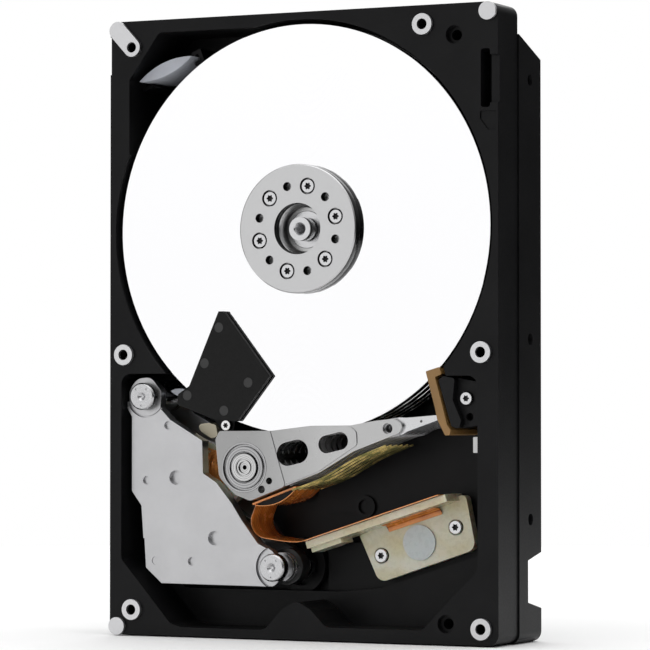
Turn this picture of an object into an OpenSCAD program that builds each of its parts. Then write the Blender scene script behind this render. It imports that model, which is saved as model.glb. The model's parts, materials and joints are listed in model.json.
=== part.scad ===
// Hard disk drive, 3.5 inch form factor, with its cover off.
// The drive is laid out flat: x across, y from the connector end to the spindle end, z from the
// board side up to the open side. stand() then sets it upright on its connector end.

/* [Case] */
// Width of the base casting
case_w = 101.6; // [101.4:0.1:101.8]
// Length of the base casting
case_l = 147; // [147:0.1:147.4]
// Height of the rim that carries the cover, above the mounting face
rim_z = 24.4; // [24.4:0.1:24.8]
// Rise of the machined pads and screw bosses above the rim
pad_rise = 1; // [0.8:0.1:1.2]

/* [Disks] */
// Diameter of a disk
disk_d = 96; // [95:0.5:96.2]
// Thickness of a disk
disk_t = 1.27; // [1.2:0.01:1.27]
// Distance from one disk to the next
disk_pitch = 3; // [2.95:0.01:3.02]
// Distance of the spindle's axis from the connector end
spindle_y = 96; // [95.8:0.1:96.2]

/* [Actuator] */
// Radius of the pivot bearing's sleeve
pivot_sleeve_r = 5.9; // [5.8:0.05:5.95]
// Thickness of an arm
arm_t = 0.95; // [0.9:0.01:1]
// Angle of the voice coil's middle line, seen from the pivot
coil_angle = 192; // [191:1:193]

/* [Mounting threads] */
// Radius of the 6-32 mounting holes at the thread's crest
screw_hole_r = 1.4; // [1.35:0.05:1.45]

/* [Hidden] */
$fn = 96;

// Colours
coat = [0.07, 0.07, 0.075];
steel = [0.72, 0.73, 0.75];
bright = [0.85, 0.86, 0.88];
aluminium = [0.66, 0.67, 0.69];
copper = [0.72, 0.36, 0.16];
amber = [0.78, 0.42, 0.12];
cream = [0.86, 0.83, 0.7];
dark_plastic = [0.09, 0.09, 0.1];
board_green = [0.05, 0.2, 0.12];
gold = [0.85, 0.68, 0.3];

// Shared sizes
case_t = rim_z + pad_rise;
upper_inset = 0.35;            // the casting is this much smaller above its parting step
step_z = 13;                   // height of the parting step
disk_count = 5;
disk_r = disk_d / 2;
disk_gap = disk_pitch - disk_t;
disk_top = rim_z - 1.5;        // upper face of the top disk
well_r = disk_r + 1;
well_z = 7;                    // floor of the disk well
deep_z = 6;                    // floor under the voice coil motor
floor_z = 7.8;                 // floor of the rest of the actuator bay
ledge_z = 10.5;                // shelf round that floor
spindle = [0, spindle_y];
pivot = [-14.2, 40.3];
arm_count = disk_count + 1;
arm_mid = disk_top + disk_gap / 2;
hair = 0.02;                   // clearance of a part seated in another
slip = 0.03;                   // running clearance of a shaft in its sleeve
over = 1;                      // how far a cut runs past the face that it opens

function polar(c, r, a) = [c.x + r * cos(a), c.y + r * sin(a)];
function disk_top_z(i) = disk_top - disk_pitch * i;
function arm_mid_z(k) = arm_mid - disk_pitch * k;

// Points of an outline whose corners are [x, y, radius].
arc_step = 9;
function unit2(v) = v / norm(v);
function corner_arc(c, r, from, sweep) =
    let (n = max(1, ceil(abs(sweep) / arc_step)))
    [for (i = [0:n]) polar(c, r, from + sweep * i / n)];
function corner(p, before, after) =
    p[2] == 0 ? [[p.x, p.y]] :
    let (
        o = [p.x, p.y],
        u = unit2([before.x, before.y] - o),
        v = unit2([after.x, after.y] - o),
        half = acos(u * v) / 2,
        c = o + unit2(u + v) * p[2] / sin(half),
        from = atan2((o + u * p[2] / tan(half) - c).y, (o + u * p[2] / tan(half) - c).x),
        to = atan2((o + v * p[2] / tan(half) - c).y, (o + v * p[2] / tan(half) - c).x),
        turn = to - from,
        sweep = turn > 180 ? turn - 360 : (turn < -180 ? turn + 360 : turn)
    ) corner_arc(c, p[2], from, sweep);
function rounded(points) =
    let (n = len(points))
    [for (i = [0:n - 1]) each corner(points[i], points[(i + n - 1) % n], points[(i + 1) % n])];
function box_outline(x0, y0, x1, y1, r) = [[x0, y0, r], [x1, y0, r], [x1, y1, r], [x0, y1, r]];

module stand() { translate([0, case_t / 2, 0]) rotate([90, 0, 0]) children(); }

module slab(points, z0, z1) {
    translate([0, 0, z0]) linear_extrude(z1 - z0) polygon(rounded(points));
}

module disc(c, r, z0, z1) { translate([c.x, c.y, z0]) cylinder(r = r, h = z1 - z0); }

module ring(c, r_in, r_out, z0, z1) {
    translate([c.x, c.y, z0]) difference() {
        cylinder(r = r_out, h = z1 - z0);
        translate([0, 0, -over]) cylinder(r = r_in, h = z1 - z0 + 2 * over);
    }
}

module cone(c, r0, r1, z0, z1) {
    translate([c.x, c.y, z0]) cylinder(r1 = r0, r2 = r1, h = z1 - z0);
}

// A strip with round ends between two points.
module strap(a, b, r, z0, z1) {
    d = b - a;
    translate([a.x, a.y, 0]) rotate(atan2(d.y, d.x))
        slab(box_outline(-r, -r, norm(d) + r, r, r * 0.97), z0, z1);
}

// The part of a ring between two angles, from r_in to r_out.
module sector(c, r_in, r_out, a0, a1, z0, z1) {
    translate([c.x, c.y, z0]) rotate(a0) rotate_extrude(angle = a1 - a0)
        translate([r_in, 0]) square([r_out - r_in, z1 - z0]);
}

// A six-lobed socket cut in a screw's head.
module six_lobe(r, z0, z1) {
    disc([0, 0], r * 0.72, z0, z1);
    for (a = [0:60:300]) disc(polar([0, 0], r * 0.72, a), r * 0.26, z0, z1);
}

// A low-headed screw: its head stands on z, its shank goes down.
module screw(c, z, head_r, head_h, shank_r, shank_l) {
    translate([c.x, c.y, z]) difference() {
        union() {
            cylinder(r = head_r, h = head_h * 0.6);
            translate([0, 0, head_h * 0.6])
                cylinder(r1 = head_r, r2 = head_r * 0.86, h = head_h * 0.4);
            translate([0, 0, -shank_l]) cylinder(r = shank_r, h = shank_l + head_h / 2);
        }
        six_lobe(head_r * 0.5, head_h * 0.3, head_h + over);
    }
}

/* ---- base casting ---- */
rail_x = 44.4;                                 // inner side of the mounting rails
side_hole_y = [28.5, 70.11, 130.1];
side_hole_z = 6.35;
side_hole_apart = 0.01;        // keeps a left hole and its right twin from being one bore
bottom_hole_x = 95.25 / 2;
bottom_hole_y = [41.28, 85.73, 117.48];
hole_depth = 4.2;
boss_r = 2.45;
cover_bosses = [[31.9, 142.2], [-46.4, 66.9], [46.4, 66.9], [-44.2, 6.3], [46.4, 4.1]];
cover_hole_r = 1.25;
corner_strap = [[-48, 144.4], [-44.2, 140.3]];
corner_pads = [[48.2, 144.5], [-48.2, 2.3]];
datum_holes = [[39.6, 139.5], [37.4, 5]];
floor_ring = [9.5, 31];
board_pocket_z = 3.6;
outer_pocket_z = 1;
board_y1 = 66;
connector_x = [-42, 2];
connector_depth = 9.3;
connector_top = 7.2;
motor_recess_r = 16.4;
motor_recess_z = 3.6;
stator_boss_r = 6.4;

upper_cavity = [
    [-47.4, 62.4, 2.5], [-47.4, 18.3, 2], [-34, 3.2, 2], [-31, 2.4, 0], [-9, 2.4, 3],
    [-4.4, 7.4, 3], [-0.7, 9.4, 3], [3, 7.4, 3], [7, 3.4, 3], [31.4, 3.4, 2],
    [45.3, 17.3, 2], [45.3, 61.6, 2.5], [30, 61.6, 0], [0, 70, 0], [-30, 62.4, 0]
];
bay_cavity = [
    [-44.8, 60.5, 2], [-44.8, 19, 2], [-37.5, 11, 2], [4, 11, 3], [14.5, 12, 3],
    [40.5, 20.4, 3], [44.2, 24, 2], [44.2, 59.5, 2], [30, 62, 0], [0, 70, 0], [-30, 62, 0]
];
deep_cavity = [
    [-44.8, 60.5, 2], [-44.8, 19, 2], [-37.5, 11, 2], [-0.4, 11, 0.5], [-0.4, 22.4, 0.5],
    [8, 22.4, 0.5], [8, 29.6, 2.5], [-4, 29.6, 3], [-1.6, 40, 6], [-6, 52, 4], [-24, 60.5, 4]
];
filter_pocket = [
    [-45.3, 100, 0], [-45.3, 132.6, 0.8], [-37.2, 143.6, 1.5], [-4, 143.6, 0], [0, 96, 0]
];
ramp_pocket = [[33, 61, 0], [37.6, 61, 0], [36.6, 64.6, 0.8], [33, 66, 0]];
board_pocket = box_outline(-rail_x, -over, rail_x, board_y1 + 2, 1.5);
outer_pocket = box_outline(-rail_x, board_y1 - 2, rail_x, case_l - 4, 3);

module case_outline(inset, z0, z1) {
    slab(box_outline(-case_w / 2 + inset, inset, case_w / 2 - inset, case_l - inset, 2.5), z0, z1);
}

// What the side rails lose near both ends, as seen from the side.
module rail_reliefs() {
    for (s = [-1, 1]) scale([s, 1, 1]) {
        translate([rail_x, 0, 0]) rotate([90, 0, 90]) linear_extrude(8)
            polygon([[135, -over], [140.2, step_z], [case_l + over, step_z],
                     [case_l + over, -over]]);
        translate([46, 0, 0]) rotate([90, 0, 90]) linear_extrude(6)
            polygon([[7.6, -over], [9.4, 7.9], [19.1, 7.9], [21, -over]]);
    }
}

module rim_details() {
    // lifting slot and lands at the upper right corner
    slab(box_outline(46.2, 122.6, 48.5, 136, 0.6), 19, rim_z + over);
    slab(box_outline(48, 123.6, case_w / 2 + over, 134.6, 0.6), rim_z - 1, rim_z + over);
    slab([[46, 121.8, 0.3], [50, 121.8, 0.3], [50, 117.4, 0.5], [48, 117.4, 0.5], [46, 120, 0.3]],
         rim_z - 0.4, rim_z + over);
    // lowered corner beside the strap
    slab([[-case_w / 2 - over, 134, 0], [-49.3, 134, 0.5], [-48.4, 138.2, 0.5],
          [-46, 139, 0.5], [-49, 143, 0], [-case_w / 2 - over, 143, 0]], rim_z - 0.5, rim_z + over);
    for (h = datum_holes) {
        disc(h, 2.1, rim_z - 1.6, rim_z + over);
        disc(h, cover_hole_r, rim_z - 7, rim_z);
    }
}

module mounting_holes() {
    for (s = [-1, 1]) {
        for (y = side_hole_y)
            translate([s * (case_w / 2 + over), y, side_hole_z + max(0, s) * side_hole_apart])
                rotate([0, -s * 90, 0]) cylinder(r = screw_hole_r, h = hole_depth + over);
        for (y = bottom_hole_y) disc([s * bottom_hole_x, y], screw_hole_r, -over, hole_depth);
    }
}

module underside() {
    slab(board_pocket, -over, board_pocket_z);
    difference() {
        slab(outer_pocket, -over, outer_pocket_z);
        ring(spindle, 15.5, 17, -over, 2);
    }
    for (a = [60, 120, 180, 240, 300]) translate([spindle.x, spindle.y, 0]) rotate(a)
        sector([0, 0], 21, 38, -7, 7, -over, 2.4);
    slab(box_outline(connector_x[0], -over, connector_x[1], connector_depth, 0.6),
         0, connector_top);
}

board_screw_at = [[-40.5, 61], [40.5, 61], [39.5, 6.5], [-41.5, 26], [41, 34]];
module board_screw_posts() {
    for (p = board_screw_at) disc(p, 2.2, 1.6, board_pocket_z + 0.2);
}

module motor_seat() {
    ring(spindle, stator_boss_r - 1.4, stator_boss_r, motor_recess_z - 0.2, 9);
}

module base_casting() {
    color(coat) difference() {
        union() {
            difference() {
                union() {
                    case_outline(0, 0, step_z);
                    case_outline(upper_inset, step_z - 0.1, rim_z);
                }
                disc(spindle, well_r, well_z, rim_z + over);
                slab(filter_pocket, well_z, rim_z + over);
                slab(upper_cavity, ledge_z, rim_z + over);
                slab(bay_cavity, floor_z, rim_z + over);
                slab(deep_cavity, deep_z, rim_z + over);
                slab(ramp_pocket, well_z, rim_z + over);
                disc(spindle, motor_recess_r, motor_recess_z, rim_z);
                for (p = post_at) disc(p, post_r + 0.4, deep_z, rim_z);
                rail_reliefs();
                rim_details();
                underside();
            }
            for (b = cover_bosses) disc(b, boss_r, rim_z - 1, case_t);
            strap(corner_strap[0], corner_strap[1], 2.2, rim_z - 1, case_t);
            for (p = corner_pads) disc(p, 2.1, rim_z - 1, case_t);
            motor_seat();
            board_screw_posts();
            disc(pivot, 3.4, deep_z - 0.2, 6.8);
            ring(floor_ring, 1.7, 2.6, floor_z - 0.2, floor_z + 0.8);
            ramp_pillar();
            damper_pillar();
            sector(post_at[1], 4.8, 6.6, -115, 95, deep_z - 0.2, 8.8);
            filter_posts();
        }
        mounting_holes();
        for (b = cover_bosses) disc(b, cover_hole_r, rim_z - 6, case_t + over);
        disc(corner_strap[1], cover_hole_r, rim_z - 6, case_t + over);
        disc(spindle, shaft_r + hair, shaft_bottom, 10);
        disc(pivot, pivot_shaft_r + hair, 4.2, 8);
        for (p = board_screw_at) disc(p, 0.9, 0, 5);
        disc(ramp_screw_at, 0.95, 8, 30);
        disc(damper_screw_at, 0.95, 8, 30);
        bracket_port();
        for (p = bracket_screw_at) disc(p, 0.95, 4.4, 12);
    }
}

/* ---- spindle motor ---- */
shaft_r = 2.2;
shaft_top = 24;
shaft_bottom = 1.4;
sleeve_r = 4.4;
hub_r = 12.45;
hub_cavity_r = 11.05;
hub_top = disk_top - 0.15;
hub_web_z = 18.6;
flange_r = 15.7;
stack_bottom = disk_top_z(disk_count - 1) - disk_t;
magnet_in_r = 9.95;
clamp_r = 15.1;
clamp_bore_r = 6;
clamp_t = 2.4;
clamp_screw_r = 10.2;
tooth_count = 12;
core_z = [8, 14.4];

module spindle_shaft() {
    color(bright) difference() {
        union() {
            disc(spindle, shaft_r, shaft_bottom, shaft_top - 0.3);
            cone(spindle, shaft_r, 2.75, 20.4, 20.95);
            disc(spindle, 2.75, 20.9, shaft_top);
        }
        disc(spindle, 1.15, 15, shaft_top + over);
        cone(spindle, 1.15, 1.55, shaft_top - 0.5, shaft_top + 0.01);
    }
}

module stator_core() {
    color(steel) union() {
        ring(spindle, stator_boss_r + hair, 7.4, core_z[0], core_z[1]);
        for (i = [0:tooth_count - 1]) translate([spindle.x, spindle.y, 0]) rotate(i * 30) {
            translate([7.2, -0.45, core_z[0]]) cube([1.9, 0.9, core_z[1] - core_z[0]]);
            sector([0, 0], 9.0, magnet_in_r - 0.25, -11, 11, core_z[0], core_z[1]);
        }
    }
}

module stator_windings() {
    color(copper) for (i = [0:tooth_count - 1])
        translate([spindle.x, spindle.y, 0]) rotate(i * 30) difference() {
            translate([7.75, -0.85, core_z[0] - 0.8]) cube([1.1, 1.7, core_z[1] - core_z[0] + 1.6]);
            translate([7, -0.45 - hair, core_z[0] - hair])
                cube([3, 0.9 + 2 * hair, core_z[1] - core_z[0] + 2 * hair]);
        }
}

module motor_flex() {
    z0 = board_z[1] + hair;
    z1 = outer_pocket_z - hair;
    color(amber) union() {
        slab(box_outline(-3.2, 54, 3.2, 67.6, 0), z0, z0 + 0.18);
        slab(box_outline(-3.2, 67.4, 3.2, 67.6, 0), z1 - 0.18, z0 + 0.18);
        slab(box_outline(-3.2, 67.4, 3.2, 78.6, 0), z1 - 0.18, z1);
    }
}

module spindle_hub() {
    color(aluminium) difference() {
        union() {
            disc(spindle, hub_r, stack_bottom - 1.63, hub_top);
            disc(spindle, flange_r, stack_bottom - 1.63, stack_bottom);
            ring(spindle, hub_cavity_r, hub_r, 4.4, stack_bottom);
        }
        disc(spindle, hub_cavity_r, 0, hub_web_z);
        disc(spindle, 5.2, 20.2, hub_top + over);
        cone(spindle, 5.2, 6.4, hub_top - 1.2, hub_top + 0.01);
        disc(spindle, sleeve_r + hair, 0, hub_top);
        for (i = [0:5]) disc(polar(spindle, clamp_screw_r, 15 + 60 * i), 0.75, hub_web_z + 0.6, 30);
    }
}

module bearing_sleeve() {
    color(bright) ring(spindle, shaft_r + slip, sleeve_r, 4.2, 20.2);
}

module rotor_magnet() {
    color([0.3, 0.3, 0.32]) ring(spindle, magnet_in_r, hub_cavity_r - hair, 6.4, 16.4);
}

module disk(i) {
    color([0.88, 0.88, 0.9]) ring(spindle, hub_r + hair, disk_r, disk_top_z(i) - disk_t,
                                  disk_top_z(i));
}

module spacer_rings() {
    color(bright) for (i = [0:disk_count - 2])
        ring(spindle, hub_r + hair, 15.9, disk_top_z(i + 1), disk_top_z(i) - disk_t);
}

module disk_clamp() {
    color(bright) difference() {
        union() {
            disc(spindle, clamp_r, disk_top, disk_top + clamp_t - 0.25);
            cone(spindle, clamp_r, clamp_r - 0.25, disk_top + clamp_t - 0.25, disk_top + clamp_t);
        }
        disc(spindle, clamp_bore_r, 0, 30);
        for (i = [0:5]) {
            disc(polar(spindle, clamp_screw_r, 15 + 60 * i), 0.95, 0, 30);
            disc(polar(spindle, clamp_screw_r, 15 + 60 * i), 1.95, disk_top + clamp_t - 1, 30);
            disc(polar(spindle, clamp_screw_r, 45 + 60 * i), 1.05, disk_top + 0.4, 30);
        }
    }
}

module clamp_screws() {
    color(bright) for (i = [0:5])
        screw(polar(spindle, clamp_screw_r, 15 + 60 * i), disk_top + clamp_t - 1, 1.75, 0.85,
              0.73, 4.6);
}

/* ---- actuator ---- */
pivot_shaft_r = 1.9;
block_bottom = 7.2;
block_top = rim_z + 0.35;
disk_clear_r = 9.1;            // nothing on the block reaches past this towards the disks
swage = [22.7, 49.5];
block_outline = [
    [-20.8, 48.8, 0.8], [-21.8, 46.8, 1], [-20.8, 38, 3], [-16.6, 33.9, 2], [-12.6, 32.5, 1],
    [-3.4, 36, 1], [-7.4, 48.9, 0.6]
];
arm_outline = [
    [-9, 48.7, 0], [3, 50.1, 3], [13.2, 50.2, 1], [19, 51.2, 3], [24.4, 51.8, 1.6],
    [26.6, 50.4, 1], [25.6, 48.4, 1.4], [20.6, 46.6, 2], [14, 44.2, 3], [5.2, 39.2, 4],
    [-4.2, 35.8, 0], [-9, 34, 0]
];
top_arm_pad = [
    [-9, 48.5, 0], [3, 49.9, 3], [13.2, 50, 2], [14.8, 48.8, 1.4], [15, 45.7, 1],
    [5.1, 39.5, 4], [-4.2, 36.1, 0], [-9, 34.4, 0]
];
arm_slots = [[[-2.9, 43.5], [-0.3, 44.1], 2.75], [[7.2, 45.8], [10.7, 46.6], 2.05]];

module arm_plate(k) {
    difference() {
        slab(arm_outline, arm_mid_z(k) - arm_t / 2, arm_mid_z(k) + arm_t / 2);
        disc(swage, 1.25, 0, 40);
    }
}

module arm_block() {
    color(aluminium) difference() {
        union() {
            difference() {
                slab(block_outline, block_bottom, block_top);
                sector(pivot, disk_clear_r, 16, 25, 100, 0, disk_top + 0.5);
            }
            for (k = [0:arm_count - 1]) arm_plate(k);
            slab(top_arm_pad, arm_mid_z(0), arm_mid_z(0) + arm_t / 2 + 0.3);
        }
        disc(pivot, pivot_sleeve_r + hair, 0, 40);
        for (s = arm_slots) strap(s[0], s[1], s[2], 0, 40);
        disc([-7.6, 37.2], 0.8, 20, 40);
        disc([-9.6, 35.2], 0.9, 22, 40);
    }
}

module pivot_shaft() {
    color(bright) difference() {
        union() {
            disc(pivot, pivot_shaft_r, 4.2, 24.4);
            ring(pivot, pivot_shaft_r - 0.5, 3.25, 24.1, 24.9);
            ring(pivot, pivot_shaft_r - 0.5, 3.2, 6.8, 7.6);
        }
        disc(pivot, 0.55, 16, 40);
        cone(pivot, 0.55, 1.1, 24.4, 24.91);
        ring(pivot, 1.75, 2.05, 24.6, 40);
    }
}

race_z = [8.6, 20.6];
race_h = 2.4;
module pivot_inner_races() {
    color(bright) for (z = race_z) translate([pivot.x, pivot.y, z])
        rotate_extrude() difference() {
            translate([pivot_shaft_r + hair, 0]) square([1.15, race_h]);
            translate([3.6, race_h / 2]) circle(r = 0.78);
        }
}

module pivot_balls() {
    color(bright) for (z = race_z) for (a = [0:36:324])
        translate([pivot.x, pivot.y, z + race_h / 2]) rotate(a) translate([3.6, 0, 0])
            sphere(r = 0.7, $fn = 32);
}

module pivot_outer_races() {
    color(bright) for (z = race_z) translate([pivot.x, pivot.y, z])
        rotate_extrude() difference() {
            translate([4.1, 0]) square([1, race_h]);
            translate([3.6, race_h / 2]) circle(r = 0.78);
        }
}

module pivot_sleeve() {
    color(steel) difference() {
        union() {
            ring(pivot, 5.12, pivot_sleeve_r, 7.7, block_top + 0.1);
            ring(pivot, 3.45, 5.2, 23.6, block_top + 0.02);
        }
        ring(pivot, 4.95, 5.45, block_top - 0.5, 30);
        ring(pivot, 3.2, 3.75, block_top - 0.4, 30);
    }
}

// Voice coil: a fan-shaped winding and the plastic frame round it.
coil_in_r = 10.8;
coil_out_r = 26.4;
coil_leg = 4.6;
coil_half = 29;
coil_z = [12.7, 15.3];
frame_z = [12.3, 15.7];

// The outline of a fan with its sides parallel to a moved-in copy by d.
module fan(d, z0, z1) {
    a = coil_half;
    r0 = coil_in_r + d;
    r1 = coil_out_r - d;
    corners = [
        for (i = [0:6]) polar([0, 0], r1, (a - 57.3 * d / r1) * (1 - i / 3)),
        for (i = [0:6]) polar([0, 0], r0, -(a - 57.3 * d / r0 * 0.9) * (1 - i / 3))
    ];
    translate([pivot.x, pivot.y, z0]) rotate(coil_angle) linear_extrude(z1 - z0)
        polygon(corners);
}

module voice_coil() {
    color(copper) difference() {
        fan(0, coil_z[0], coil_z[1]);
        fan(coil_leg, 0, 40);
    }
}

module coil_frame() {
    color(cream) difference() {
        union() {
            fan(-1.4, frame_z[0], frame_z[1]);
            sector(pivot, 4, 10.9, coil_angle - 30, coil_angle + 30, frame_z[0], frame_z[1]);
            sector(pivot, 24, 29.6, coil_angle + 4, coil_angle + 7, frame_z[0], frame_z[1]);
        }
        fan(-hair, coil_z[0] - hair, coil_z[1] + hair);
        fan(coil_leg + 0.8, 0, 40);
        slab([for (p = block_outline) [p.x, p.y, p[2]]], 0, 40);
        disc(pivot, 6.2, 0, 40);
        sector(pivot, 10.9, 26.4, coil_angle - 45, coil_angle + 45, 0, coil_z[0]);
        sector(pivot, 10.9, 26.4, coil_angle - 45, coil_angle + 45, coil_z[1], 40);
    }
}

// Suspensions: one under each arm but the lowest, one on top of each arm but the highest.
beam_angle = 11.8;
swage_t = 0.125;
beam_t = 0.1;
slider_t = 0.16;
beam_l = 14.6;
beam_outline = [
    [-2.4, -2, 0.6], [3, -2, 0.3], [4.2, -1.6, 0], [beam_l - 2, -0.55, 0.2], [beam_l, -0.3, 0.2],
    [beam_l, 0.3, 0.2], [beam_l - 2, 0.55, 0.2], [4.2, 1.6, 0], [3, 2, 0.3], [-2.4, 2, 0.6]
];
swage_outline = box_outline(-2.4, -2.1, 2.6, 2.1, 0.6);

module at_swage() { translate([swage.x, swage.y, 0]) rotate(beam_angle) children(); }

// Children are drawn as a slab whose lower face is on z = 0, at a distance d from the arm's middle.
module on_each_face(d, t) {
    for (k = [0:arm_count - 1]) {
        if (k < arm_count - 1) at_swage() translate([0, 0, arm_mid_z(k) - d - t]) children();
        if (k > 0) at_swage() translate([0, 0, arm_mid_z(k) + d]) children();
    }
}

module swage_plates() {
    color(steel) on_each_face(arm_t / 2, swage_t) difference() {
        slab(swage_outline, 0, swage_t);
        disc([0, 0], 1.1, -over, over);
    }
}

module load_beams() {
    color(bright) on_each_face(arm_t / 2 + swage_t, beam_t) difference() {
        slab(beam_outline, 0, beam_t);
        disc([0, 0], 1, -over, over);
        disc([8.2, 0], 0.3, -over, over);
    }
}

module head_sliders() {
    color(dark_plastic) on_each_face(arm_t / 2 + swage_t + beam_t, slider_t)
        translate([10.6, -0.4, 0]) cube([1.2, 0.8, slider_t]);
}

// Flexible tails of the heads: one strip along the near edge of each arm.
trace_path = [[22, 46.1], [14, 42.9], [5.4, 38.3], [-2.2, 35.6]];
trace_w = 0.6;
module head_traces() {
    across = [0.35, -0.94];
    color(gold) for (k = [0:arm_count - 1])
        translate([0, 0, arm_mid_z(k) - 0.15]) linear_extrude(0.3) polygon(concat(
            [for (p = trace_path) p + across * 0.25],
            [for (i = [3:-1:0]) trace_path[i] + across * (0.25 + trace_w)]
        ));
}

panel_a = [-13.2, 31.9];
panel_b = [-1.4, 36.2];
panel_dir = atan2(panel_b.y - panel_a.y, panel_b.x - panel_a.x);
module on_panel() { translate([panel_a.x, panel_a.y, 0]) rotate(panel_dir) children(); }

module arm_flex_panel() {
    color(amber) on_panel() translate([0, -0.5, 8.2]) cube([12.2, 0.5, 14.4]);
}

module preamp_chip() {
    color(dark_plastic) on_panel() translate([5.4, -1.25, 11.5]) cube([3.4, 0.75 - hair, 6.4]);
}

/* ---- flexible cable from the moving arm to its bracket ---- */
loop_c = [-10.6, 27.6];
loop_r = 3.95;
loop_t = 0.18;
loop_z = [9, 20.4];
wall_a = [-1.2, 22.9];
wall_b = [34.6, 34.4];
wall_dir = atan2(wall_b.y - wall_a.y, wall_b.x - wall_a.x);
wall_l = norm(wall_b - wall_a);
wall_up = [-sin(wall_dir), cos(wall_dir)];
loop_path = concat(
    [panel_a + [-0.12, -0.5]],
    [for (a = [150:10:265]) polar(loop_c, loop_r, a)],
    [[-6.5, 23.1], [-3.6, 22.9], wall_a + wall_up * 0.2],
    [wall_a + unit2(wall_b - wall_a) * (wall_l - 1) + wall_up * 0.2]
);
function path_normal(p, i) =
    let (
        a = p[max(0, i - 1)],
        b = p[min(len(p) - 1, i + 1)],
        d = unit2(b - a)
    ) [-d.y, d.x];
module flex_loop() {
    n = len(loop_path);
    color(amber) translate([0, 0, loop_z[0]]) linear_extrude(loop_z[1] - loop_z[0]) polygon(concat(
        [for (i = [0:n - 1]) loop_path[i] + path_normal(loop_path, i) * loop_t / 2],
        [for (i = [n - 1:-1:0]) loop_path[i] - path_normal(loop_path, i) * loop_t / 2]
    ));
}

/* ---- bracket that holds the cable and its plug through the base ---- */
bracket_outline = [
    [9.4, 24.4, 0.4], [14.6, 13.3, 2.4], [39.2, 21.6, 2.4], [36.6, 34.4, 1.2]
];
bracket_z = [8.8, 11.4];
bracket_wall_top = 18.6;
wall_t = 1.7;
bracket_screw_at = [[15.2, 19.7], [34.2, 26.6]];
bracket_cap_at = [25, 22.9];

module along_wall() { translate([wall_a.x, wall_a.y, 0]) rotate(wall_dir) children(); }

module bracket_port() {
    translate([24.6, 20.6, 0]) rotate(wall_dir) translate([-6.6, -2.6, 0]) cube([13.2, 5.2, 9]);
}

module flex_bracket() {
    color(cream) difference() {
        union() {
            slab(bracket_outline, bracket_z[0], bracket_z[1]);
            along_wall() translate([0, -wall_t, 9]) cube([wall_l, wall_t, bracket_wall_top - 9]);
            along_wall() translate([0.4, -2.8, 11]) cube([8, 1.8, 6.4]);
            disc(bracket_cap_at, 4.1, bracket_z[1] - 0.1, bracket_z[1] + 0.5);
            for (p = bracket_screw_at) disc(p, 2.5, floor_z, bracket_z[0] + 0.1);
        }
        for (p = bracket_screw_at) {
            disc(p, 1, 0, 30);
            disc(p, 1.9, bracket_z[1] - 0.5, 30);
        }
        // slot that the cable's end turns down through
        along_wall() translate([17.6, -wall_t - over, bracket_z[1]]) cube([15.6, 0.9, 5]);
    }
}

module flex_bracket_screws() {
    color(bright) for (p = bracket_screw_at)
        screw(p, bracket_z[1] - 0.5, 1.7, 1, 0.93, 6.4);
}

module flex_connector() {
    color(dark_plastic) union() {
        translate([24.6, 20.6, 0]) rotate(wall_dir)
            translate([-6.4, -2.4, 1.7]) cube([12.8, 4.8, bracket_z[0] - hair - 1.7]);
    }
}

module wall_pad() {
    color([0.95, 0.95, 0.95]) slab(box_outline(43.2, 44, 45.3 - hair, 47.6, 0.2), 15, 22);
}

/* ---- magnet assembly ---- */
post_at = [[-42.1, 57], [-7.4, 16.9]];
yoke_z = [deep_z, deep_z + 3];
top_yoke_z = [19, 22];
post_r = 3.4;
pin_head_r = 3.25;
collar_r = 5;                 // the upper yoke is pressed down round each post
collar_drop = 0.5;
upper_outline = [
    [-45.8, 52.2, 0.4], [-45.8, 34.4, 1], [-43.2, 31, 1], [-42.7, 24, 0.6], [-42.2, 16.2, 0.6],
    [-38, 12.6, 0.6], [-8, 12.4, 2], [-4, 16.4, 2.5], [-8.6, 20.8, 1.5], [-12, 22.4, 1],
    [-16.4, 28, 2], [-18.8, 31.6, 2], [-23, 36.6, 2], [-26.6, 38.8, 0.6], [-26.8, 46.5, 0.6],
    [-35.4, 51.4, 1], [-38.4, 54.4, 0.6], [-38, 58.2, 2.5], [-41, 61.6, 2.5], [-44.6, 61.2, 2.5],
    [-47, 58.4, 1.5], [-47, 54, 1.5]
];
lower_outline = [
    [-44.2, 20, 1], [-37.2, 12, 0.6], [-8.4, 12.8, 2], [-3.4, 16.6, 2.5],
    [-8.4, 20.6, 1.5], [-12, 22.4, 1], [-16.4, 28, 2], [-19.4, 31.6, 2], [-24, 36.6, 2],
    [-27, 38.8, 0.6], [-26.6, 44, 0.6], [-29, 49.4, 1], [-36, 53, 1], [-38.4, 57, 1],
    [-40, 60, 1.5], [-44.2, 60, 1.5]
];
pip_at = [[-36, 50.1], [-41.8, 37], [-29.6, 17.9], [-39.6, 17.9]];
sight_at = [[-33.9, 37.7], [-23.5, 23.5]];

module lower_yoke() {
    color(steel) difference() {
        slab(lower_outline, yoke_z[0], yoke_z[1]);
        for (p = post_at) disc(p, 1.9 + hair, 0, 40);
        disc(latch_at, 0.9, 0, 40);
    }
}

module upper_yoke() {
    color(steel) difference() {
        slab(upper_outline, top_yoke_z[0], top_yoke_z[1]);
        for (p = post_at) {
            disc(p, 1.55, 0, 40);
            disc(p, collar_r, top_yoke_z[1] - collar_drop, 30);
            ring(p, collar_r - 0.35, collar_r + 0.05, top_yoke_z[1] - collar_drop - 0.4, 30);
        }
        for (p = sight_at) disc(p, 1.7, top_yoke_z[1] - 1.2, 40);
        for (p = pip_at) disc(p, 1, top_yoke_z[1] - 0.7, 40);
        slab([[-50, 5, 0], [-37.8, 5, 0], [-37.8, 23.2, 2.4], [-50, 23.2, 0]],
             top_yoke_z[1] - 0.5, 30);
    }
}

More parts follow.
